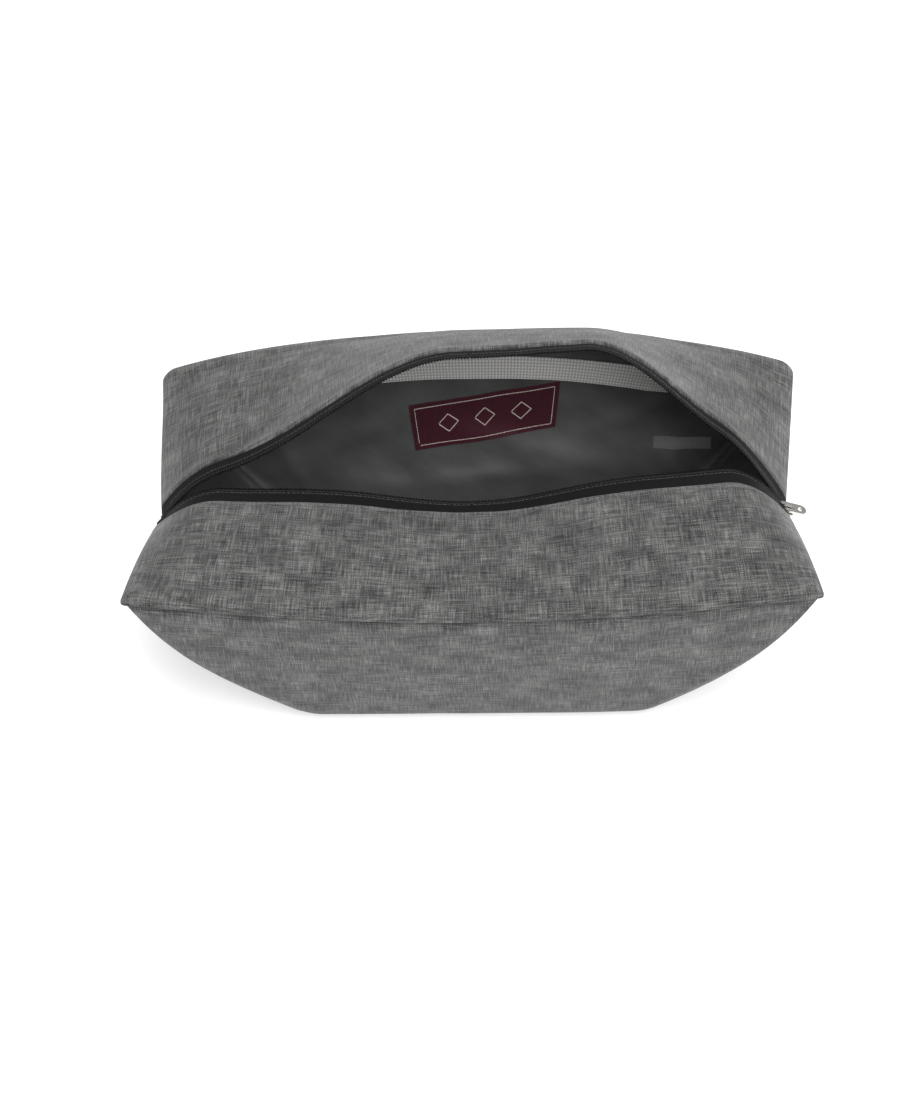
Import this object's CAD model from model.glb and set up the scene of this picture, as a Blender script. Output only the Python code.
import itertools
import math

import bpy
import numpy as np
from mathutils import Matrix, Vector


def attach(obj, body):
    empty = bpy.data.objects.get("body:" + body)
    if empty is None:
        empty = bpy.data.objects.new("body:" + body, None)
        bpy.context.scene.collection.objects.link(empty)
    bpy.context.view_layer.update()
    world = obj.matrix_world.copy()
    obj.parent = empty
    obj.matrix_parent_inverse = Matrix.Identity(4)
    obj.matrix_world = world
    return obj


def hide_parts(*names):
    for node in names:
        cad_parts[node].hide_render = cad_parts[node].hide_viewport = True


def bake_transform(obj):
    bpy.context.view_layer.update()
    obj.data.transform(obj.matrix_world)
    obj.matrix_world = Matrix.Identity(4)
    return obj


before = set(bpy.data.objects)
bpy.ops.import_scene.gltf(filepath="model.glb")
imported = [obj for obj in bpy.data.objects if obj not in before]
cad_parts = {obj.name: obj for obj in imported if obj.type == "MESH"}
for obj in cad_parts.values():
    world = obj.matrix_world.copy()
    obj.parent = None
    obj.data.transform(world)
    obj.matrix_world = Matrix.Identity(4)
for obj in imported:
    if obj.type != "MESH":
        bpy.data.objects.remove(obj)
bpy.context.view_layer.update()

# Everything below is worked out in millimetres and turned to metres when a mesh is made.
MM = 0.001

# The open top's driving dimensions, the same as the CAD model's. Tilts and turns are in degrees.
CREASE_HALF = 170.0
CREASE_DEPTH = 86.0
CREASE_LEVEL = 104.0
ZIP_Y = -5.0
END_PINCH = 10.0
COIL_GAP = 0.4
COIL_WIDTH = 2.6
TAPE_SHOW = {"front": 9.0, "back": 5.5}
TAPE_UNDER = 8.0
BULGE = {"front": 6.0, "back": 6.0}
DROP = {"front": 9.0, "back": -13.0}
OPEN = {"front": -7.0, "back": 42.2}
END_TILT = {"front": -15.5, "back": -14.5}
MID_TILT = {"front": 6.2, "back": -6.2}
TILT_SLOPE = {"front": 4.4, "back": 3.5}
TILT_RISE = {"front": 0.0, "back": 12.3}
TURN = {"front": (20.0, 0.0), "back": (17.0, 17.0)}
END_ROUNDING = 37.0
FRONT_DIP = (0.02, 0.55)
BACK_FULL = {-1: 0.03, 1: 0.35}

# Which way the two long sides face along Y, and all four sides.
OUTWARD = {"front": -1, "back": 1}
SIDES = ("front", "back", "left", "right")

# Shape that only this script gives the top: round corners at the creases, a back crease that
# arches and whose arch fades along the panel, and a back left corner that is drawn in.
CORNER = {"front": 2.5, "back": 7.0}
CORNER_INSET = 1 - math.sqrt(0.5)
ARCH = 16.5
ARCH_FADE = 0.8
LEFT_TUCK = 4.5
LEFT_TUCK_START = 40.0
LEFT_TUCK_RUN = 120.0
LEFT_TUCK_DEPTH = 85.0

# Depths of the layers' faces below the outer surface.
SHELL = (0.0, 1.2)
PADDING = (1.35, 3.1)
LINING = (3.2, 3.8)
TOP_PANEL = (0.0, 1.2)
TOP_TAPE = (1.4, 2.0)
TOP_LINING = (2.2, 2.8)

# How far apart the grid lines of a sheet of cloth are.
GRID_PITCH = 2.6


# ------------------------------------------------------------------ numbers


def smooth(value):
    """0 below 0, 1 above 1, and an even S between."""
    value = np.clip(value, 0.0, 1.0)
    return value * value * (3 - 2 * value)


def unit(vectors):
    """Vectors brought to length 1."""
    return vectors / np.maximum(np.linalg.norm(vectors, axis=-1, keepdims=True), 1e-9)


# The table of random values repeats after this many cells.
LUMP_CELLS = 32
LUMP_SHIFT = 1000.0


def lumps(points, size, seed):
    """Soft random lumps from -1 to 1 at points in mm, each lump about size mm across."""
    table = np.random.default_rng(seed).uniform(-1, 1, (LUMP_CELLS,) * 3)
    place = np.asarray(points, float) / size + LUMP_SHIFT
    cell = np.floor(place).astype(int)
    part = place - cell
    part = part * part * (3 - 2 * part)
    total = 0.0
    for dx, dy, dz in itertools.product((0, 1), repeat=3):
        weight = np.abs(1 - dx - part[..., 0]) * np.abs(1 - dy - part[..., 1])
        weight = weight * np.abs(1 - dz - part[..., 2])
        index = (cell + (dx, dy, dz)) % LUMP_CELLS
        total = total + weight * table[index[..., 0], index[..., 1], index[..., 2]]
    return total


def lengths_along(points):
    """Running length along each row of a grid of points."""
    steps = np.linalg.norm(np.diff(points, axis=1), axis=2)
    return np.concatenate([np.zeros((len(points), 1)), np.cumsum(steps, axis=1)], axis=1)


def run_along(line):
    """Running length along one line of points."""
    return np.concatenate([[0], np.cumsum(np.linalg.norm(np.diff(line, axis=0), axis=1))])


def places_at(at, run, line):
    """Places at given running lengths along a line of points."""
    return np.stack([np.interp(at, run, column) for column in line.T], 1)


def grid_normals(points):
    """Unit normals of a grid of points, by differences."""
    return unit(np.cross(np.gradient(points, axis=0), np.gradient(points, axis=1)))


def spread(low, high, pitch):
    """Places from low to high about pitch apart, closer together at both ends."""
    *close, inside = (0.5, 1.1, 1.9, 3.0)
    middle = np.linspace(low + inside, high - inside, max(3, int((high - low) / pitch)))
    first = [low] + [low + step for step in close]
    last = [high - step for step in reversed(close)] + [high]
    return np.array(first + list(middle) + last)


# ------------------------------------------------------------------ the top's surfaces


def crease_line(side, across):
    """Y and Z of a crease; across runs from -1 to 1 along the bag."""
    sag = 1 - across * across
    y = OUTWARD[side] * (CREASE_DEPTH + BULGE[side] * sag)
    return y, CREASE_LEVEL - DROP[side] * sag


def arch(side, across):
    """How much fuller than a plain bow the back crease stands between its corners."""
    if side == "front":
        return 0.0 * across
    return ARCH * (1 - np.abs(across) ** 3) + DROP["back"] * (1 - across * across)


def tucked(points):
    """Draws in the back left corner, which stands a little slack."""
    x, y, z = points[..., 0], points[..., 1], points[..., 2]
    pull = smooth((-x - LEFT_TUCK_START) / LEFT_TUCK_RUN)
    pull = pull * smooth((y - ZIP_Y) / LEFT_TUCK_DEPTH) * smooth(z / CREASE_LEVEL)
    return points + np.stack([LEFT_TUCK * pull, 0 * pull, 0 * pull], axis=-1)


def opening(side, across):
    """How far one half of the top is open, from 0 at its ends to 1."""
    if side == "front":
        return smooth((FRONT_DIP[1] - np.abs(across)) / (FRONT_DIP[1] - FRONT_DIP[0]))
    full = np.where(across < 0, BACK_FULL[-1], BACK_FULL[1])
    return smooth((1 - np.abs(across)) / (1 - full))


def top_arc(side, across):
    """The arc that one half of the top follows: crease y and z, radius, first angle, length."""
    crease_y, crease_z = crease_line(side, across)
    from_end = np.minimum((1 - np.abs(across)) * CREASE_HALF / END_ROUNDING, 1)
    rounding = 1 - (1 - from_end) ** 2
    middle = MID_TILT[side] + TILT_SLOPE[side] * across + TILT_RISE[side] * across**2
    closed = np.radians(END_TILT[side] + (middle - END_TILT[side]) * rounding)
    share = opening(side, across)
    chord = (np.abs(crease_y - ZIP_Y) - COIL_GAP) / np.cos(closed)
    turn = np.radians(TURN[side][0] + TURN[side][1] * share)
    radius = chord / (2 * np.sin(turn / 2))
    first = closed + np.radians(OPEN[side]) * share + turn / 2
    return crease_y, crease_z, radius, first, radius * turn


def top_point(side, across, along, depth=0.0):
    """Points this far along the arc from the crease and this deep under the outer face."""
    crease_y, crease_z, radius, first, length = top_arc(side, across)
    angle = first - along / radius
    reach = radius * (np.sin(first) - np.sin(angle))
    rise = radius * (np.cos(angle) - np.cos(first))
    corner = CORNER[side]
    from_end = (1 - np.abs(across)) * CREASE_HALF
    cut = np.clip(1 - from_end / corner, 0, 1) * np.clip(1 - along / corner, 0, 1)
    inset = CORNER_INSET * corner * cut**1.5
    y = crease_y - OUTWARD[side] * (reach + depth * np.sin(angle) + inset)
    z = crease_z + rise - depth * np.cos(angle)
    z = z + arch(side, across) * (1 - smooth(along / (ARCH_FADE * length)))
    inward = np.abs(y - crease_y) / CREASE_DEPTH
    x = across * (CREASE_HALF - END_PINCH * inward) - np.sign(across) * inset
    return tucked(np.stack(np.broadcast_arrays(x, y, z), axis=-1))


TOP_SEED = {"front": 11, "back": 12}


def top_wrinkle(side, points):
    """How far the cloth of the top lies above its plain arc."""
    seed = TOP_SEED[side]
    return 0.9 * lumps(points, 46.0, seed) + 0.35 * lumps(points, 19.0, seed + 5)


# ------------------------------------------------------------------ the box's surfaces

# The walls lean out in a straight line from the foot to the crease, with a little belly, and
# roll in under the foot.
FOOT_HALF = 102.0
FOOT_DEPTH = 71.0
BELLY_LENGTH = 7.0
BELLY_DEPTH = 1.5
FOOT_ROLL_HEIGHT = 8.0
FOOT_ROLL_LENGTH = 7.0
FOOT_ROLL_DEPTH = 9.5
FOOT_CORNER = 32.0
CREASE_CORNER = 2.5
FOOT_SHIFT = 2.5

# A wall's height along its slope, the strip left free below its crease, how far its upper edge
# is tucked in, how far its middle swells, and the level above which it follows its bowed crease.
WALL_HEIGHT = 122.0
RIM = 1.3
TUCK = {"front": 3.0, "back": 2.4, "left": 0.5, "right": 0.5}
PILLOW = {"front": 3.5, "back": 3.0, "left": 3.0, "right": 3.0}
LIFT_START = 35.0


def profile(share):
    """Height, half length, half depth, corner radius and shift at a share of the wall's height."""
    height = CREASE_LEVEL * share
    belly = np.sin(math.pi * share)
    roll = (1 - np.minimum(height / FOOT_ROLL_HEIGHT, 1)) ** 2
    half_length = FOOT_HALF + (CREASE_HALF - FOOT_HALF) * share
    half_length = half_length + BELLY_LENGTH * belly - FOOT_ROLL_LENGTH * roll
    half_depth = FOOT_DEPTH + (CREASE_DEPTH - FOOT_DEPTH) * share
    half_depth = half_depth + BELLY_DEPTH * belly - FOOT_ROLL_DEPTH * roll
    corner = CREASE_CORNER + (FOOT_CORNER - CREASE_CORNER) * (1 - share) ** 2
    return height, half_length, half_depth, corner, FOOT_SHIFT * (1 - share) ** 4


def end_edge(sign, across):
    """The upper edge of an end wall; across runs from -1 at the front to 1 at the back."""
    y = CREASE_DEPTH * across
    result = np.zeros(np.shape(across) + (3,))
    for side, inside in (("front", y < ZIP_Y), ("back", y >= ZIP_Y)):
        crease_y, _, _, _, length = top_arc(side, np.array(float(sign)))
        share = np.abs(y - crease_y) / np.abs(ZIP_Y - crease_y)
        points = top_point(side, np.full(np.shape(y), float(sign)), share * length, 0.0)
        result[inside] = points[inside]
    return result


def wall_point(side, across, share):
    """Points on a wall's outer face: across from -1 to 1, share from 0 at the foot to 1."""
    height, half_length, half_depth, corner, shift = profile(share)
    long_wall = side in OUTWARD
    at_back = side == "back" if long_wall else across > 0
    corner = corner + at_back * (CORNER["back"] - CORNER["front"]) * (height / CREASE_LEVEL) ** 2
    half, out = (half_length, half_depth) if long_wall else (half_depth, half_length)
    run = (half - corner + corner * math.pi / 4) * np.abs(across)
    angle = np.clip((run - (half - corner)) / corner, 0, math.pi / 4)
    along = np.where(run < half - corner, run, half - corner + corner * np.sin(angle))
    along = along * np.sign(across)
    outward = out - corner + corner * np.cos(angle)
    sag = 1 - across * across
    lift = smooth((height - LIFT_START) / (CREASE_LEVEL - LIFT_START))
    outward = outward + PILLOW[side] * sag * np.sin(math.pi * height / CREASE_LEVEL)
    if long_wall:
        outward = outward + BULGE[side] * sag * (height / CREASE_LEVEL) ** 2
        height = height + (arch(side, across) - DROP[side] * sag) * lift
        return tucked(np.stack([along + shift, OUTWARD[side] * outward, height], axis=-1))
    sign = -1 if side == "left" else 1
    points = np.stack([sign * outward + shift, along, height], axis=-1)
    top = np.stack(
        [sign * CREASE_HALF + 0 * across, CREASE_DEPTH * across, CREASE_LEVEL + 0 * across],
        axis=-1,
    )
    return tucked(points + (end_edge(sign, across) - top) * lift[..., None])


def wall_grid(side, pitch):
    """A wall's grid of outer points, its inward normals and the distance to its seams."""
    widest = CREASE_HALF if side in OUTWARD else CREASE_DEPTH
    across = spread(-widest, widest, pitch) / widest
    share = spread(0, WALL_HEIGHT - RIM, pitch) / WALL_HEIGHT
    share, across = np.meshgrid(share, across, indexing="ij")
    points = wall_point(side, across, share)
    inward = grid_normals(points)
    middle = inward[inward.shape[0] // 2, inward.shape[1] // 2]
    outside = {"front": (0, -1, 0), "back": (0, 1, 0), "left": (-1, 0, 0), "right": (1, 0, 0)}
    if np.dot(middle, outside[side]) > 0:
        inward = -inward
    to_side = (1 - np.abs(across)) * widest * profile(share)[1] / CREASE_HALF
    to_top = (1 - share) * WALL_HEIGHT - RIM
    to_foot = share * WALL_HEIGHT
    return points, inward, to_side, to_top, to_foot


# ------------------------------------------------------------------ meshes


def new_piece(name, vertices, faces, material, uv=None, sharp=55.0):
    """A mesh object from points in mm, smooth except over sharp edges."""
    mesh = bpy.data.meshes.new(name)
    mesh.from_pydata((np.asarray(vertices) * MM).tolist(), [], [list(f) for f in faces])
    mesh.materials.append(material)
    mesh.polygons.foreach_set("use_smooth", [True] * len(mesh.polygons))
    if uv is not None:
        layer = mesh.uv_layers.new(name="Weave")
        loops = np.zeros(len(mesh.loops), int)
        mesh.loops.foreach_get("vertex_index", loops)
        layer.data.foreach_set("uv", np.asarray(uv, np.float32)[loops].ravel())
    mesh.set_sharp_from_angle(angle=math.radians(sharp))
    mesh.update()
    piece = bpy.data.objects.new(name, mesh)
    bpy.context.collection.objects.link(piece)
    return piece


def slab(name, outer, inner, material, uv=None):
    """A closed thin piece between two grids of points."""
    rows, columns = outer.shape[:2]
    count = rows * columns
    index = np.arange(count).reshape(rows, columns)
    a, b = index[:-1, :-1].ravel(), index[:-1, 1:].ravel()
    c, d = index[1:, 1:].ravel(), index[1:, :-1].ravel()
    quads = [np.stack([a, b, c, d], 1), np.stack([d, c, b, a], 1) + count]
    ring = np.concatenate([index[0, :], index[1:, -1], index[-1, -2::-1], index[-2:0:-1, 0]])
    after = np.roll(ring, -1)
    quads.append(np.stack([after, ring, ring + count, after + count], 1))
    faces = np.vstack(quads)
    row, column = rows // 2, columns // 2
    middle = outer[row, column]
    normal = np.cross(outer[row, column + 1] - middle, outer[row + 1, column] - middle)
    if np.dot(normal, middle - inner[row, column]) < 0:
        faces = faces[:, ::-1]
    vertices = np.concatenate([outer.reshape(-1, 3), inner.reshape(-1, 3)])
    if uv is None:
        uv = np.stack([lengths_along(outer), lengths_along(outer.transpose(1, 0, 2)).T], -1)
    flat = uv.reshape(-1, 2)
    return new_piece(name, vertices, faces.tolist(), material, np.concatenate([flat, flat]))


def tube(points, radius, sides=6):
    """Vertices and faces of a round closed tube along points in mm."""
    points = np.asarray(points, float)
    heading = unit(np.gradient(points, axis=0))
    upright = abs(heading[0][2]) >= 0.9
    first = unit(np.cross(heading, (1.0, 0.0, 0.0) if upright else (0.0, 0.0, 1.0)))
    second = np.cross(heading, first)
    turn = np.linspace(0, 2 * math.pi, sides, endpoint=False)[None, :, None]
    ring = np.cos(turn) * first[:, None] + np.sin(turn) * second[:, None]
    vertices = (points[:, None] + ring * radius).reshape(-1, 3)
    faces = []
    for row in range(len(points) - 1):
        near, far = row * sides, (row + 1) * sides
        for side in range(sides):
            after = (side + 1) % sides
            faces.append([near + side, near + after, far + after, far + side])
    faces.append(list(range(sides))[::-1])
    faces.append([(len(points) - 1) * sides + side for side in range(sides)])
    return vertices, faces


def joined(parts):
    """Several (vertices, faces) pairs as one."""
    vertices, faces, offset = [], [], 0
    for points, polygons in parts:
        vertices.append(points)
        faces += [[index + offset for index in polygon] for polygon in polygons]
        offset += len(points)
    return np.vstack(vertices), faces


# A stitch dips into the cloth at both ends: shares of its length, and shares of its rise there.
STITCH_SHARES = np.array([0.0, 0.2, 0.5, 0.8, 1.0])
STITCH_HEIGHTS = np.array([-0.25, 0.75, 1.0, 0.75, -0.25])
STITCH_START = 0.6


def stitches(name, line, material, lift=0.35, pitch=3.1, length=2.3, radius=0.28):
    """A row of thread stitches, each rising by lift; a line is its points and unit normals."""
    path, normals = line
    run = run_along(path)
    hump = STITCH_HEIGHTS * lift
    parts = []
    for start in np.arange(STITCH_START, run[-1] - length, pitch):
        at = start + STITCH_SHARES * length
        centre = places_at(at, run, path) + places_at(at, run, normals) * hump[:, None]
        parts.append(tube(centre, radius, 5))
    return new_piece(name, *joined(parts), material, sharp=80.0)


# ------------------------------------------------------------------ materials


class Nodes:
    """A short way to write a material's node tree."""

    def __init__(self, name):
        """A new material with its shader."""
        self.material = bpy.data.materials.new(name)
        self.material.use_nodes = True
        self.tree = self.material.node_tree
        self.shader = self.tree.nodes["Principled BSDF"]

    def plug(self, value, socket):
        """Link an input to another node's output, or give it a value or a colour."""
        if isinstance(value, bpy.types.NodeSocket):
            self.tree.links.new(value, socket)
        elif socket.type == "RGBA":
            socket.default_value = (*value, 1)
        else:
            socket.default_value = value

    def add(self, kind, inputs=None, **settings):
        """A new node with its settings and inputs."""
        node = self.tree.nodes.new(kind)
        for key, value in settings.items():
            setattr(node, key, value)
        for key, value in (inputs or {}).items():
            self.plug(value, node.inputs[key])
        return node

    def maths(self, operation, first, second=0.0):
        """The result of one sum."""
        return self.add("ShaderNodeMath", {0: first, 1: second}, operation=operation).outputs[0]

    def scaled(self, value, factor, offset):
        """A value times a factor plus an offset."""
        inputs = {0: value, 1: factor, 2: offset}
        return self.add("ShaderNodeMath", inputs, operation="MULTIPLY_ADD").outputs[0]

    def uv(self):
        """Places on the cloth, in mm."""
        return self.add("ShaderNodeUVMap", uv_map="Weave").outputs[0]

    def noise(self, vector, scale, detail=2.0):
        """Noise with its own scale along each axis."""
        stretched = self.add("ShaderNodeMapping", {"Vector": vector, "Scale": scale}).outputs[0]
        inputs = {"Vector": stretched, "Scale": 1.0, "Detail": detail, "Roughness": 0.55}
        return self.add("ShaderNodeTexNoise", inputs).outputs["Fac"]

    def grain(self, scale, detail=2.0):
        """Noise through the piece itself."""
        place = self.add("ShaderNodeTexCoord").outputs["Object"]
        inputs = {"Vector": place, "Scale": scale, "Detail": detail}
        return self.add("ShaderNodeTexNoise", inputs).outputs["Fac"]

    def ramp(self, value, stops):
        """Colours by value; a stop is a place from 0 to 1 and a colour."""
        node = self.add("ShaderNodeValToRGB", {"Fac": value})
        elements = node.color_ramp.elements
        for index, (place, colour) in enumerate((stops[0], stops[-1])):
            elements[index].position = place
            elements[index].color = (*colour, 1)
        for place, colour in stops[1:-1]:
            elements.new(place).color = (*colour, 1)
        return node.outputs[0]

    def mix(self, share, first, second, blend="MIX"):
        """A blend of two colours."""
        node = self.add("ShaderNodeMix", {"Factor": share}, data_type="RGBA", blend_type=blend)
        for key, value in (("A", first), ("B", second)):
            self.plug(value, [s for s in node.inputs if s.name == key and s.type == "RGBA"][0])
        return [s for s in node.outputs if s.type == "RGBA"][0]

    def bump(self, height, strength, distance):
        """Relief on the surface; distance is in metres."""
        inputs = {"Height": height, "Strength": strength, "Distance": distance}
        self.plug(self.add("ShaderNodeBump", inputs).outputs[0], self.shader.inputs["Normal"])

    def set(self, **values):
        """The shader's inputs by name, with _ for a space."""
        for key, value in values.items():
            self.plug(value, self.shader.inputs[key.replace("_", " ")])


def grey(value, tint=(1.0, 0.985, 0.97)):
    """A nearly neutral colour."""
    return tuple(value * part for part in tint)


def thread_grid(n, uv, pitch):
    """Across and along waves of a plain weave, each from 0 to 1."""
    split = n.add("ShaderNodeSeparateXYZ", {"Vector": uv})
    waves = []
    for axis in (0, 1):
        angle = n.maths("MULTIPLY", split.outputs[axis], 2 * math.pi / pitch)
        waves.append(n.scaled(n.maths("SINE", angle), 0.5, 0.5))
    return waves


def heather_fabric(name, tone=1.0):
    """Grey plain weave whose threads differ in shade along and across the cloth."""
    n = Nodes(name)
    uv = n.uv()
    warp = n.noise(uv, (1.7, 0.085, 1.0), detail=3.0)
    weft = n.noise(uv, (0.075, 1.7, 1.0), detail=3.0)
    fine = n.noise(uv, (1.5, 1.5, 1.0), detail=1.0)
    slub_up = n.noise(uv, (0.55, 0.05, 1.0), detail=2.0)
    slub_side = n.noise(uv, (0.045, 0.55, 1.0), detail=2.0)
    cloud = n.noise(uv, (0.05, 0.07, 1.0), detail=3.0)
    across, along = thread_grid(n, uv, 0.62)
    over = n.maths("MULTIPLY", across, along)
    streak = n.maths("ADD", n.maths("MULTIPLY", warp, 0.32), n.maths("MULTIPLY", weft, 0.30))
    streak = n.maths("ADD", streak, n.maths("MULTIPLY", fine, 0.16))
    streak = n.maths("ADD", streak, n.maths("MULTIPLY", cloud, 0.22))
    colour = n.ramp(
        streak,
        [
            (0.40, grey(0.022 * tone)),
            (0.47, grey(0.085 * tone)),
            (0.53, grey(0.175 * tone)),
            (0.61, grey(0.380 * tone, (1.0, 0.995, 0.985))),
        ],
    )
    bright = n.maths("MAXIMUM", slub_up, slub_side)
    bright = n.ramp(bright, [(0.58, (0, 0, 0)), (0.76, (1, 1, 1))])
    share = n.add("ShaderNodeSeparateColor", {"Color": bright}).outputs[0]
    colour = n.mix(n.maths("MULTIPLY", share, 0.45), colour, grey(0.36 * tone))
    shade = n.scaled(over, 0.32, 0.84)
    shade = n.add("ShaderNodeCombineColor", {0: shade, 1: shade, 2: shade}).outputs[0]
    colour = n.mix(1.0, colour, shade, "MULTIPLY")
    height = n.maths("ADD", n.maths("MULTIPLY", over, 0.6), n.maths("MULTIPLY", streak, 0.9))
    n.bump(height, 0.5, 0.0003)
    n.set(Base_Color=colour, Roughness=0.88, Sheen_Weight=0.22, Sheen_Roughness=0.5)
    n.set(Specular_IOR_Level=0.25)
    return n.material


def lining_cloth():
    """Dark grey coated cloth with a soft sheen."""
    n = Nodes("lining_cloth")
    uv = n.uv()
    across, along = thread_grid(n, uv, 0.5)
    over = n.maths("MULTIPLY", across, along)
    mottle = n.noise(uv, (0.03, 0.035, 1.0), detail=3.0)
    fine = n.noise(uv, (0.9, 0.9, 1.0), detail=2.0)
    tone = n.maths("ADD", n.maths("MULTIPLY", mottle, 0.8), n.maths("MULTIPLY", fine, 0.2))
    colour = n.ramp(tone, [(0.3, (0.050, 0.053, 0.050)), (0.7, (0.100, 0.104, 0.100))])
    rough = n.scaled(tone, 0.2, 0.30)
    n.bump(n.maths("ADD", n.maths("MULTIPLY", over, 0.4), fine), 0.15, 0.0002)
    n.set(Base_Color=colour, Roughness=rough, Sheen_Weight=0.1, Specular_IOR_Level=0.6)
    return n.material


def seam_ribbon():
    """Pale woven ribbon with an open, knotted texture."""
    n = Nodes("seam_ribbon")
    uv = n.uv()
    across, along = thread_grid(n, uv, 1.8)
    over = n.maths("MULTIPLY", across, along)
    fine = n.noise(uv, (1.4, 1.4, 1.0), detail=2.0)
    tone = n.maths("ADD", n.maths("MULTIPLY", over, 0.7), n.maths("MULTIPLY", fine, 0.4))
    colour = n.ramp(tone, [(0.15, grey(0.42)), (0.55, grey(0.72)), (0.9, grey(0.88))])
    n.bump(tone, 0.6, 0.0006)
    n.set(Base_Color=colour, Roughness=0.85, Sheen_Weight=0.2)
    return n.material


def black_tape():
    """Black zip tape with fine ribs along it."""
    n = Nodes("black_tape")
    uv = n.uv()
    across, along = thread_grid(n, uv, 0.8)
    fine = n.noise(uv, (1.2, 1.2, 1.0), detail=2.0)
    tone = n.maths("ADD", n.maths("MULTIPLY", along, 0.5), n.maths("MULTIPLY", fine, 0.5))
    colour = n.ramp(tone, [(0.2, (0.0015, 0.0015, 0.0017)), (0.8, (0.0045, 0.0045, 0.005))])
    n.bump(n.maths("MULTIPLY", n.maths("ADD", across, along), 0.5), 0.35, 0.0003)
    n.set(Base_Color=colour, Roughness=0.8, Sheen_Weight=0.02, Specular_IOR_Level=0.2)
    return n.material


def nylon_coil():
    """Black nylon of the coil teeth."""
    n = Nodes("nylon_coil")
    tone = n.grain(900.0)
    colour = n.ramp(tone, [(0.3, (0.0015, 0.0015, 0.0017)), (0.7, (0.006, 0.006, 0.0065))])
    rough = n.scaled(tone, 0.2, 0.4)
    n.set(Base_Color=colour, Roughness=rough, Specular_IOR_Level=0.25)
    return n.material


def thread(name, low, high):
    """Sewing thread, twisted in two shades."""
    n = Nodes(name)
    tone = n.grain(2600.0, 1.0)
    n.set(Base_Color=n.ramp(tone, [(0.35, low), (0.65, high)]), Roughness=0.6, Sheen_Weight=0.2)
    n.bump(tone, 0.3, 0.0001)
    return n.material


def label_satin():
    """Maroon satin weave of the sewn label."""
    n = Nodes("label_satin")
    uv = n.uv()
    across, _ = thread_grid(n, uv, 0.42)
    fine = n.noise(uv, (0.4, 3.0, 1.0), detail=2.0)
    colour = n.ramp(fine, [(0.3, (0.028, 0.003, 0.009)), (0.7, (0.066, 0.007, 0.018))])
    n.bump(n.maths("ADD", across, n.maths("MULTIPLY", fine, 0.8)), 0.25, 0.0002)
    n.set(Base_Color=colour, Roughness=0.5, Sheen_Weight=0.15)
    return n.material


def tag_cloth():
    """Thin pale grey tag."""
    n = Nodes("tag_cloth")
    uv = n.uv()
    _, along = thread_grid(n, uv, 0.4)
    fine = n.noise(uv, (0.8, 2.0, 1.0), detail=2.0)
    colour = n.ramp(fine, [(0.3, grey(0.13)), (0.7, grey(0.20))])
    n.bump(n.maths("ADD", along, fine), 0.2, 0.0002)
    n.set(Base_Color=colour, Roughness=0.7, Sheen_Weight=0.1)
    return n.material


def foam():
    """Open-cell padding."""
    n = Nodes("padding_foam")
    tone = n.grain(1500.0)
    n.set(Base_Color=n.ramp(tone, [(0.3, (0.55, 0.54, 0.50)), (0.7, (0.72, 0.71, 0.67))]))
    n.set(Roughness=0.95)
    n.bump(tone, 0.5, 0.0005)
    return n.material


def nickel():
    """Plated zip metal with fine scratches."""
    n = Nodes("nickel")
    tone = n.grain(700.0, 4.0)
    rough = n.scaled(tone, 0.2, 0.14)
    n.set(Base_Color=n.ramp(tone, [(0.3, (0.62, 0.61, 0.58)), (0.7, (0.78, 0.77, 0.74))]))
    n.set(Metallic=1.0, Roughness=rough)
    n.bump(tone, 0.05, 0.0001)
    return n.material


FABRIC = heather_fabric("heather_fabric", 0.52)
CLOTH = lining_cloth()
RIBBON = seam_ribbon()
TAPE = black_tape()
COIL = nylon_coil()
GREY_THREAD = thread("grey_thread", grey(0.05), grey(0.14))
BLACK_THREAD = thread("black_thread", grey(0.006), grey(0.02))
CREAM_THREAD = thread("cream_thread", (0.42, 0.36, 0.31), (0.62, 0.55, 0.49))
SATIN = label_satin()
TAG = tag_cloth()
FOAM = foam()
NICKEL = nickel()


# ------------------------------------------------------------------ the box


def on_bag(piece, slot, *nodes):
    """A piece fixed to the bag's body."""
    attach(piece, "bag")
    if nodes:
        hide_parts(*nodes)
    return piece


# A wall's cut height, and what a sheet's length takes up in seams at both ends together.
SEAM_ALLOWANCE = 20.0

# How deep and how wide a seam sinks, how wide the tuck below a crease is, and how far from an
# edge the shell's lumps and the lining's slack reach their full size.
SEAM_SINK = 0.9
SEAM_WIDTH = 1.3
TUCK_WIDTH = 3.2
SHELL_CALM = 14.0
LINING_CALM = 16.0

WALL_SEED = {side: 21 + number for number, side in enumerate(SIDES)}
LINING_SEED = {side: 31 + number for number, side in enumerate(SIDES)}

FOLDS = (
    # middle x and height, half length, half width, turn in degrees, rise
    (-60.0, 62.0, 34.0, 7.0, 24.0, 2.2),
    (42.0, 48.0, 46.0, 8.0, -16.0, 2.6),
    (88.0, 74.0, 30.0, 7.0, 28.0, 2.0),
    (4.0, 34.0, 52.0, 6.0, 6.0, 2.0),
    (104.0, 40.0, 22.0, 5.0, 70.0, 1.8),
    (-98.0, 40.0, 26.0, 5.0, -62.0, 1.8),
)


def lining_folds(points):
    """Soft folds standing off the back lining, in mm."""
    rise = np.zeros(points.shape[:-1])
    for x, z, half_length, half_width, turn, height in FOLDS:
        angle = math.radians(turn)
        dx, dz = points[..., 0] - x, points[..., 2] - z
        along = (dx * math.cos(angle) + dz * math.sin(angle)) / half_length
        off = (dz * math.cos(angle) - dx * math.sin(angle)) / half_width
        rise = rise + height * np.exp(-(along**2) - off**2)
    return rise


def lining_relief(side, points):
    """How far the lining stands off the padding."""
    seed = LINING_SEED[side]
    relief = 1.1 * (1 + lumps(points, 38.0, seed)) + 0.35 * (1 + lumps(points, 15.0, seed + 4))
    if side == "back":
        relief = relief + lining_folds(points)
    return relief


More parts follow.
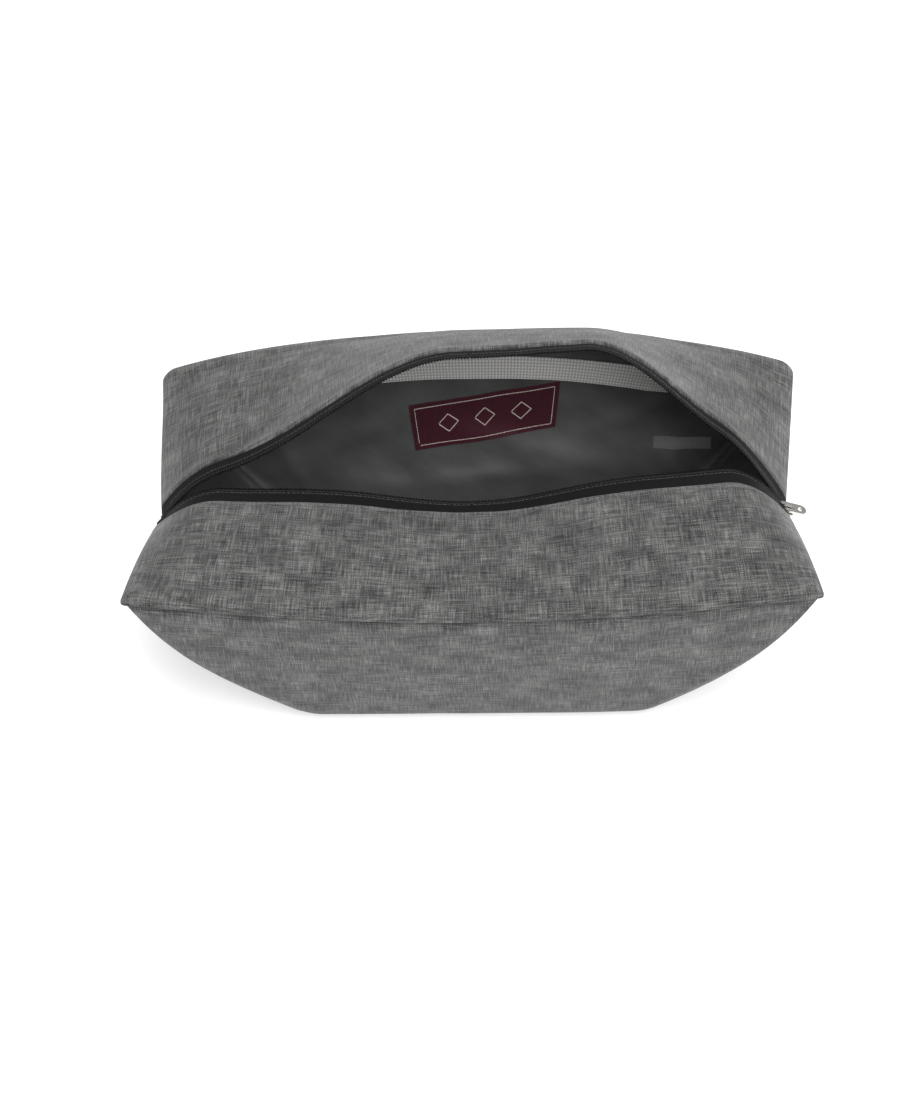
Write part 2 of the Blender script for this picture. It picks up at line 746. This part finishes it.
def make_wall(side):
    """Shell, padding and lining of one wall."""
    points, inward, to_side, to_top, to_foot = wall_grid(side, GRID_PITCH)
    long_wall = side in OUTWARD
    wall = f"{side}_wall" if long_wall else f"{side}_end"
    stem = side if long_wall else wall
    to_seam = np.minimum(to_side, to_foot)
    to_edge = np.minimum(to_seam, to_top)
    sunk = SEAM_SINK * np.exp(-((to_seam / SEAM_WIDTH) ** 2))
    sunk = sunk + TUCK[side] * np.exp(-((to_top / TUCK_WIDTH) ** 2))

    def at_depth(depth):
        """The wall's places this deep under its plain outer face."""
        return points + inward * depth[..., None]

    relief = 1.0 * lumps(points, 52.0, WALL_SEED[side])
    relief = relief + 0.35 * lumps(points, 20.0, WALL_SEED[side] + 6)
    face = at_depth(sunk - relief * smooth(to_edge / SHELL_CALM))
    weave = np.stack([points[..., 0 if long_wall else 1], to_foot], -1)
    shell = slab(f"{wall}_shell", face, face + inward * SHELL[1], FABRIC, weave)
    on_bag(shell, "shell_fabric", wall)

    inner = slice(1, -3), slice(2, -2)
    outside, inside = (at_depth(depth + sunk)[inner] for depth in PADDING)
    pad = slab(f"{side}_padding", outside, inside, FOAM)
    on_bag(pad, "padding", f"{stem}_foam")

    off = LINING[0] + sunk + lining_relief(side, points) * smooth(to_edge / LINING_CALM)
    face = at_depth(off + LINING[1] - LINING[0])
    cloth = slab(f"{side}_inner_cloth", face, at_depth(off), CLOTH)
    on_bag(cloth, "lining", f"{stem}_lining")


# How quickly the base's outline reaches its straight sides.
SQUARENESS = 3


def base_rings(level, inset, rings=26, around=160):
    """Rings of points filling the base's outline at one level."""
    _, half_length, half_depth, corner, shift = profile(0.0)
    half_length, half_depth = half_length - inset, half_depth - inset
    corner = corner - inset
    turn = np.linspace(0, 2 * math.pi, around, endpoint=False)
    cos, sin = np.cos(turn), np.sin(turn)
    x = np.clip(SQUARENESS * cos, -1, 1) * (half_length - corner) + corner * cos
    y = np.clip(SQUARENESS * sin, -1, 1) * (half_depth - corner) + corner * sin
    edge = np.stack([x, y], 1)
    share = np.linspace(0.02, 1, rings)[:, None, None]
    flat = share * edge[None] + (shift, 0.0)
    heights = np.full(flat.shape[:2] + (1,), level)
    return np.concatenate([flat, heights], axis=2)


def closed_disc(name, lower, upper, material):
    """A plate between two sets of rings."""
    rings, around = lower.shape[:2]
    count = rings * around
    faces = []
    for ring in range(rings - 1):
        for step in range(around):
            after = (step + 1) % around
            a, b = ring * around + step, ring * around + after
            c, d = a + around, b + around
            faces.append([b, a, c, d])
            faces.append([a + count, b + count, d + count, c + count])
    last = (rings - 1) * around
    for step in range(around):
        after = (step + 1) % around
        faces.append([last + after, last + step, last + step + count, last + after + count])
    faces.append(list(range(around)))
    faces.append([count + step for step in range(around)][::-1])
    vertices = np.concatenate([lower.reshape(-1, 3), upper.reshape(-1, 3)])
    uv = vertices[:, :2]
    return new_piece(name, vertices, faces, material, uv)


def make_base():
    """Shell, padding and lining of the base."""
    for name, node, (low, high), inset, material, slot in (
        ("base_shell", "base_panel", SHELL, -0.3, FABRIC, "shell_fabric"),
        ("base_padding", "base_foam", PADDING, 1.0, FOAM, "padding"),
        ("base_inner_cloth", "base_lining", LINING, -2.0, CLOTH, "lining"),
    ):
        lower = base_rings(low, inset)
        upper = base_rings(high, inset)
        if slot == "lining":
            relief = 0.8 * (1 + lumps(lower, 36.0, 41))
            upper[..., 2] += relief
            lower[..., 2] += relief
        piece = on_bag(closed_disc(name, lower, upper, material), slot, node)


# ------------------------------------------------------------------ the top

HALVES = {"left": (-1.0, 0.0), "right": (0.0, 1.0)}


def on_top(piece, side, half, slot, *nodes):
    """A piece of one half of the top: its end stays with the bag, its middle turns."""
    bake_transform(piece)
    if nodes:
        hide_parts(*nodes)
    return piece


def half_places(half, pitch):
    """Stations along one half of the bag, as shares of its half length."""
    *close, inside = np.array([0.6, 1.3, 2.2, 3.4]) / CREASE_HALF
    places = np.linspace(0, 1 - inside, int(CREASE_HALF / pitch))
    places = np.concatenate([places, 1 - np.array(close[::-1]), [1]])
    return places if half == "right" else -places[::-1]


def strip_grid(side, half, start, end, pitch):
    """Stations and distances along the arc for a strip; start and end take the arc's length."""
    across = half_places(half, GRID_PITCH)
    length = top_arc(side, across)[4]
    low, high = start(length), end(length)
    count = max(4, int((np.max(high - low)) / pitch))
    share = np.linspace(0, 1, count)
    close = np.array([0.4, 0.9, 1.6]) / np.max(high - low)
    share = np.unique(np.concatenate([share, close, 1 - close]))
    share, across = np.meshgrid(share, across, indexing="ij")
    along = low[None, :] + (high - low)[None, :] * share
    return across, along


def top_slab(name, side, half, start, end, depths, material, relief=None, pitch=GRID_PITCH):
    """A strip of one half of the top between two depths."""
    across, along = strip_grid(side, half, start, end, pitch)
    plain = top_point(side, across, along)
    rise = top_wrinkle(side, plain) * settle(across, along)
    if relief is not None:
        rise = rise + relief(side, across, along)
    outer, inner = (top_point(side, across, along, depth - rise) for depth in depths)
    uv = np.stack([across * CREASE_HALF, along], -1)
    return slab(name, outer, inner, material, uv), outer


def settle(across, along):
    """Wrinkles die out towards the crease and the ends."""
    return smooth(along / 25.0) * smooth((1 - np.abs(across)) * CREASE_HALF / 22.0)


def seam_ridge(across, along):
    """The seam allowance that shows through beside the crease, and the rolled edges."""
    ridge = 1.2 * smooth(along / 2.0) * smooth((11.0 - along) / 2.5)
    end = (1 - np.abs(across)) * CREASE_HALF
    roll = -0.9 * np.exp(-((np.minimum(along, end) / 1.5) ** 2))
    return ridge * smooth(end / 6.0) + roll


def from_crease(distance):
    """A line this far from the crease, as a distance along the arc."""
    return lambda length: 0.0 * length + distance


def from_lip(side, distance=0.0):
    """A line this far behind the panel's folded edge, as a distance along the arc."""
    return lambda length: length - COIL_WIDTH - TAPE_SHOW[side] - distance


def lip_path(side, half, back_from_lip, lift, reach=1.0, pitch=1.4):
    """Points and outward normals of a line beside the zip."""
    count = int(CREASE_HALF * 1.25 / pitch)
    across = np.linspace(*(edge * reach for edge in HALVES[half]), count)
    length = top_arc(side, across)[4]
    along = length - back_from_lip
    plain = top_point(side, across, along, 0.0)
    rise = top_wrinkle(side, plain) * settle(across, along)
    face = top_point(side, across, along, -lift - rise)
    below = top_point(side, across, along, 1.0 - lift - rise)
    return face, face - below


# The coil's turns, steps in a turn, half width and half height, and the radii of wire and cord.
COIL_PITCH = 1.5
COIL_STEPS = 10
COIL_REACH = 1.25
COIL_RISE = 0.95
COIL_WIRE = 0.42
COIL_CORE = 0.85


def coil(name, side, half):
    """The nylon coil along one edge of the zip: a flattened helix around a cord."""
    path, normals = lip_path(side, half, COIL_WIDTH / 2, -sum(TOP_TAPE) / 2, pitch=1.0)
    run = run_along(path)
    at = np.arange(0.0, run[-1], COIL_PITCH / COIL_STEPS)
    centre, up = places_at(at, run, path), places_at(at, run, normals)
    sideways = unit(np.cross(np.gradient(centre, axis=0), up))
    turn = (at / COIL_PITCH * 2 * math.pi)[:, None]
    helix = centre + sideways * (COIL_REACH * np.cos(turn)) + up * (COIL_RISE * np.sin(turn))
    parts = [tube(helix, COIL_WIRE, 5), tube(centre[::COIL_STEPS // 2], COIL_CORE, 6)]
    return new_piece(name, *joined(parts), COIL, sharp=80.0)


def panel_relief(side, across, along):
    """Relief of the outer panels: the seam beside the crease and the folded lip."""
    length = top_arc(side, across)[4]
    to_lip = length - COIL_WIDTH - TAPE_SHOW[side] - along
    fold = 0.45 * np.exp(-((to_lip / 4.0) ** 2)) - 0.9 * np.exp(-((to_lip / 0.7) ** 2))
    return seam_ridge(across, along) + fold


def under_relief(side, across, along):
    """The top linings hang a little slack."""
    points = top_point(side, across, along, 0.0)
    length = top_arc(side, across)[4]
    free = smooth(along / 12.0) * smooth((length - 12.0 - along) / 12.0)
    return -(0.9 * (1 + lumps(points, 34.0, 51))) * free * smooth((1 - np.abs(across)) * 9.0)


# Cut sizes of each length of a panel or its lining and of a tape, and the share of the zip that
# is stitched.
PANEL_CUT = (CREASE_HALF + SEAM_ALLOWANCE, 110.0)
TAPE_CUT = (CREASE_HALF + 30.0, 30.0)
STITCHED = 0.97


def solids(side, half, part):
    """The CAD solid that a piece replaces; the left length stands for the whole solid."""
    return [f"{side}_{part}"] if half == "left" else []


def make_top(side):
    """Panels, linings, tapes, coils and stitches of one half of the top."""
    for half in HALVES:

        def sheet(name, part, slot, start, end, depths, material, cut, **shape):
            """One sewn sheet of this length of the top."""
            piece, outer = top_slab(
                f"{side}_{name}_{half}", side, half, start, end, depths, material, **shape)
            on_top(piece, side, half, slot, *solids(side, half, part))

        sheet("top", "top_panel", "shell_fabric", from_crease(0.2), from_lip(side),
              TOP_PANEL, FABRIC, PANEL_CUT, relief=panel_relief)
        sheet("top_inner", "top_lining", "lining", from_crease(3.0), from_lip(side, 2.0),
              TOP_LINING, CLOTH, PANEL_CUT, relief=under_relief)
        sheet("tape", "zip_tape", "zip_tape", from_lip(side, TAPE_UNDER),
              lambda length: length - COIL_WIDTH / 2, TOP_TAPE, TAPE, TAPE_CUT, pitch=1.2)
        on_top(coil(f"{side}_coil_{half}", side, half), side, half, "zip_coil",
               *solids(side, half, "zip_coil"))
        lip_line = lip_path(side, half, COIL_WIDTH + TAPE_SHOW[side] + 2.2, 0.0, STITCHED)
        lip = stitches(f"{side}_lip_stitches_{half}", lip_line, GREY_THREAD)
        on_top(lip, side, half, "shell_fabric")
        tape_line = lip_path(side, half, COIL_WIDTH + 0.9, -TOP_TAPE[0], STITCHED)
        tape = stitches(f"{side}_tape_stitches_{half}", tape_line, BLACK_THREAD,
                        lift=0.25, pitch=2.4, length=1.9, radius=0.22)
        on_top(tape, side, half, "zip_tape")


make_base()
for wall_side in SIDES:
    make_wall(wall_side)
for top_side in OUTWARD:
    make_top(top_side)


# ------------------------------------------------------------------ inside trim


def back_place(x, height, off):
    """Points standing off the back lining at given x and height."""
    across, share = x / CREASE_HALF, height / WALL_HEIGHT
    for _ in range(12):
        points = wall_point("back", across, share)
        across = across + 0.8 * (x - points[..., 0]) / CREASE_HALF
        share = share + 0.8 * (height - points[..., 2]) / WALL_HEIGHT
    step = 1e-3
    up = wall_point("back", across, share + step) - points
    right = wall_point("back", across + step, share) - points
    inward = unit(np.cross(up, right))
    inward = np.where(inward[..., 1:2] > 0, -inward, inward)
    relief = lining_relief("back", points)
    return points + inward * (LINING[1] + relief + off)[..., None]


def slanted(centre, turn, taper, u, v):
    """X and height of a place on a tag whose ends stay upright while its length slopes."""
    angle = math.radians(turn)
    x = centre[0] + u * math.cos(angle) * (1 + taper * v)
    return x, centre[1] + u * math.sin(angle) + v


def tag_lift(v, height):
    """How far a tag stands off the lining: least along its middle, more at its edges."""
    return 0.35 + 0.5 * (v / height) ** 2


def flat_tag(name, place, size, thickness, material):
    """A thin woven piece lying on the back lining."""
    u = np.linspace(-size[0] / 2, size[0] / 2, max(3, int(size[0] / 1.6)))
    v = np.linspace(-size[1] / 2, size[1] / 2, max(3, int(size[1] / 1.2)))
    v, u = np.meshgrid(v, u, indexing="ij")
    x, z = slanted(*place, u, v)
    lift = tag_lift(v, size[1])
    face = back_place(x, z, lift + thickness)
    back = back_place(x, z, lift)
    return slab(name, face, back, material, np.stack([u, v], -1)), face


# The ribbon's cut length and width, its droop and its place; then each tag's place on the back
# lining (x and height of its middle, turn in degrees, taper) and its size.
RIBBON_WIDTH = 13.0
RIBBON_DROP = 9.5
RIBBON_SAG = 0.0005
RIBBON_DEPTH = 6.4
LABEL_PLACE = ((5.8, 72.6), 10.6, 0.0024)
LABEL_SIZE = (80.0, 29.2)
CARE_PLACE = ((112.5, 55.8), 0.5, 0.0)
CARE_SIZE = (31.0, 7.4)
THREAD_LIFT = 0.55
LABEL_MARGIN = 2.6
LOZENGE_PLACES = (-20.0, 0.0, 20.0)
LOZENGE_HALF = 5.5


def label_line(corners):
    """A closed line on the label, with its normals."""
    points = []
    for (u0, v0), (u1, v1) in zip(corners, corners[1:] + corners[:1]):
        step = np.linspace(0, 1, 24, endpoint=False)
        points.append(np.stack([u0 + (u1 - u0) * step, v0 + (v1 - v0) * step], 1))
    points = np.vstack(points + [points[0][:1]])
    u, v = points.T
    x, z = slanted(*LABEL_PLACE, u, v)
    lift = THREAD_LIFT + tag_lift(v, LABEL_SIZE[1])
    face = back_place(x, z, lift)
    return face, back_place(x, z, lift + 1.0) - face


def make_label():
    """The sewn label: satin, a stitched border and a plain woven pattern."""
    label, face = flat_tag("woven_label", LABEL_PLACE, LABEL_SIZE, 0.5, SATIN)
    on_bag(label, "maker_label", "maker_label")
    half_u, half_v = (size / 2 - LABEL_MARGIN for size in LABEL_SIZE)
    border = [(-half_u, -half_v), (half_u, -half_v), (half_u, half_v), (-half_u, half_v)]
    on_bag(stitches("label_border", label_line(border), CREAM_THREAD, lift=0.2, pitch=1.9,
                    length=1.6, radius=0.24), "maker_label")
    half = LOZENGE_HALF
    for number, u in enumerate(LOZENGE_PLACES, start=1):
        shape = [(u - half, 0), (u, -half), (u + half, 0), (u, half)]
        on_bag(stitches(f"label_lozenge_{number}", label_line(shape), CREAM_THREAD, lift=0.2,
                        pitch=1.5, length=1.4, radius=0.3), "maker_label")


def make_care_tag():
    """A small blank tag at the right of the back lining."""
    tag, _ = flat_tag("blank_care_tag", CARE_PLACE, CARE_SIZE, 0.3, TAG)
    on_bag(tag, "care_tag", "care_tag")


def make_ribbon(side):
    """The ribbon over the raw edges inside one crease, drooping a little between its ends."""
    across = np.linspace(-0.93, 0.93, 190)
    down = np.linspace(0, RIBBON_WIDTH, 9)
    down, across = np.meshgrid(down, across, indexing="ij")
    droop = RIBBON_DROP + np.minimum(RIBBON_SAG * (across * CREASE_HALF) ** 2, 5.0)
    share = 1 - (down + droop) / WALL_HEIGHT
    points = wall_point(side, across, share)
    inward = np.array([0.0, -OUTWARD[side], 0.0])
    relief = 0.35 * lumps(points, 24.0, 61) + 0.6 * np.cos(math.pi * (down / RIBBON_WIDTH - 0.5))
    face = points + inward * (RIBBON_DEPTH + relief)[..., None]
    back = face - inward * 0.8
    piece = slab(f"{side}_ribbon", face, back, RIBBON,
                 np.stack([across * CREASE_HALF, down], -1))
    on_bag(piece, "seam_tape", f"{side}_seam_tape")


make_label()
make_care_tag()
for ribbon_side in OUTWARD:
    make_ribbon(ribbon_side)


# ------------------------------------------------------------------ slider


def dress_metal():
    """The slider and its pull keep their CAD shapes, in plated metal."""
    for node in ("zip_slider", "pull_tab"):
        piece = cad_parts[node]
        piece.data.materials.clear()
        piece.data.materials.append(NICKEL)


dress_metal()


# ------------------------------------------------------------------ stage, light and camera


def make_floor():
    """A plain pale floor."""
    n = Nodes("floor")
    tone = n.grain(3.0)
    n.set(Base_Color=n.ramp(tone, [(0.3, (0.59, 0.59, 0.59)), (0.7, (0.61, 0.61, 0.61))]))
    n.set(Roughness=0.9, Specular_IOR_Level=0.1)
    n.set(Emission_Color=(1.0, 1.0, 1.0), Emission_Strength=0.55)
    half, level = 6000.0, -0.3
    corners = [(x * half, y * half, level) for x, y in ((-1, -1), (1, -1), (1, 1), (-1, 1))]
    new_piece("floor", corners, [[0, 1, 2, 3]], n.material)


def area_light(name, place, target, size, power):
    """A square soft light aimed at a point."""
    data = bpy.data.lights.new(name, "AREA")
    data.shape = "SQUARE"
    data.size = size
    data.energy = power
    light = bpy.data.objects.new(name, data)
    light.location = place
    light.rotation_euler = (Vector(target) - Vector(place)).to_track_quat("-Z", "Y").to_euler()
    bpy.context.collection.objects.link(light)


def make_light():
    """Soft studio light from above and in front; places are in metres and powers in watts."""
    world = bpy.data.worlds.new("studio")
    world.use_nodes = True
    background = world.node_tree.nodes["Background"]
    background.inputs["Color"].default_value = (1.0, 1.0, 1.0, 1.0)
    background.inputs["Strength"].default_value = 0.4
    bpy.context.scene.world = world
    area_light("key", (0.30, -1.0, 1.32), (0, 0, 0.08), 0.9, 26.0)
    area_light("top_fill", (0.2, 0.1, 1.6), (0, 0, 0.08), 1.2, 16.0)
    bpy.context.scene.view_settings.view_transform = "Standard"


CAMERA_TARGET = (-7.25, 0.0, 53.8)
CAMERA_DISTANCE = 1285.0
CAMERA_RISE = 44.5
CAMERA_YAW = 1.87
CAMERA_ROLL = -1.92
CAMERA_LENS = 81.1


def make_camera():
    """The camera, in front of the bag and above it."""
    rise, yaw, roll = (math.radians(v) for v in (CAMERA_RISE, CAMERA_YAW, CAMERA_ROLL))
    away = Vector((math.sin(yaw) * math.cos(rise), -math.cos(yaw) * math.cos(rise), math.sin(rise)))
    data = bpy.data.cameras.new("camera")
    data.lens = CAMERA_LENS
    data.sensor_width = 36.0
    data.dof.use_dof = False
    camera = bpy.data.objects.new("camera", data)
    right = (-away).cross(Vector((0, 0, 1))).normalized()
    up = right.cross(-away)
    turned_right = right * math.cos(roll) + up * math.sin(roll)
    turned_up = up * math.cos(roll) - right * math.sin(roll)
    axes = Matrix((turned_right, turned_up, away)).transposed().to_4x4()
    place = (Vector(CAMERA_TARGET) + away * CAMERA_DISTANCE) * MM
    camera.matrix_world = Matrix.Translation(place) @ axes
    bpy.context.collection.objects.link(camera)
    bpy.context.scene.camera = camera


make_floor()
make_light()
make_camera()
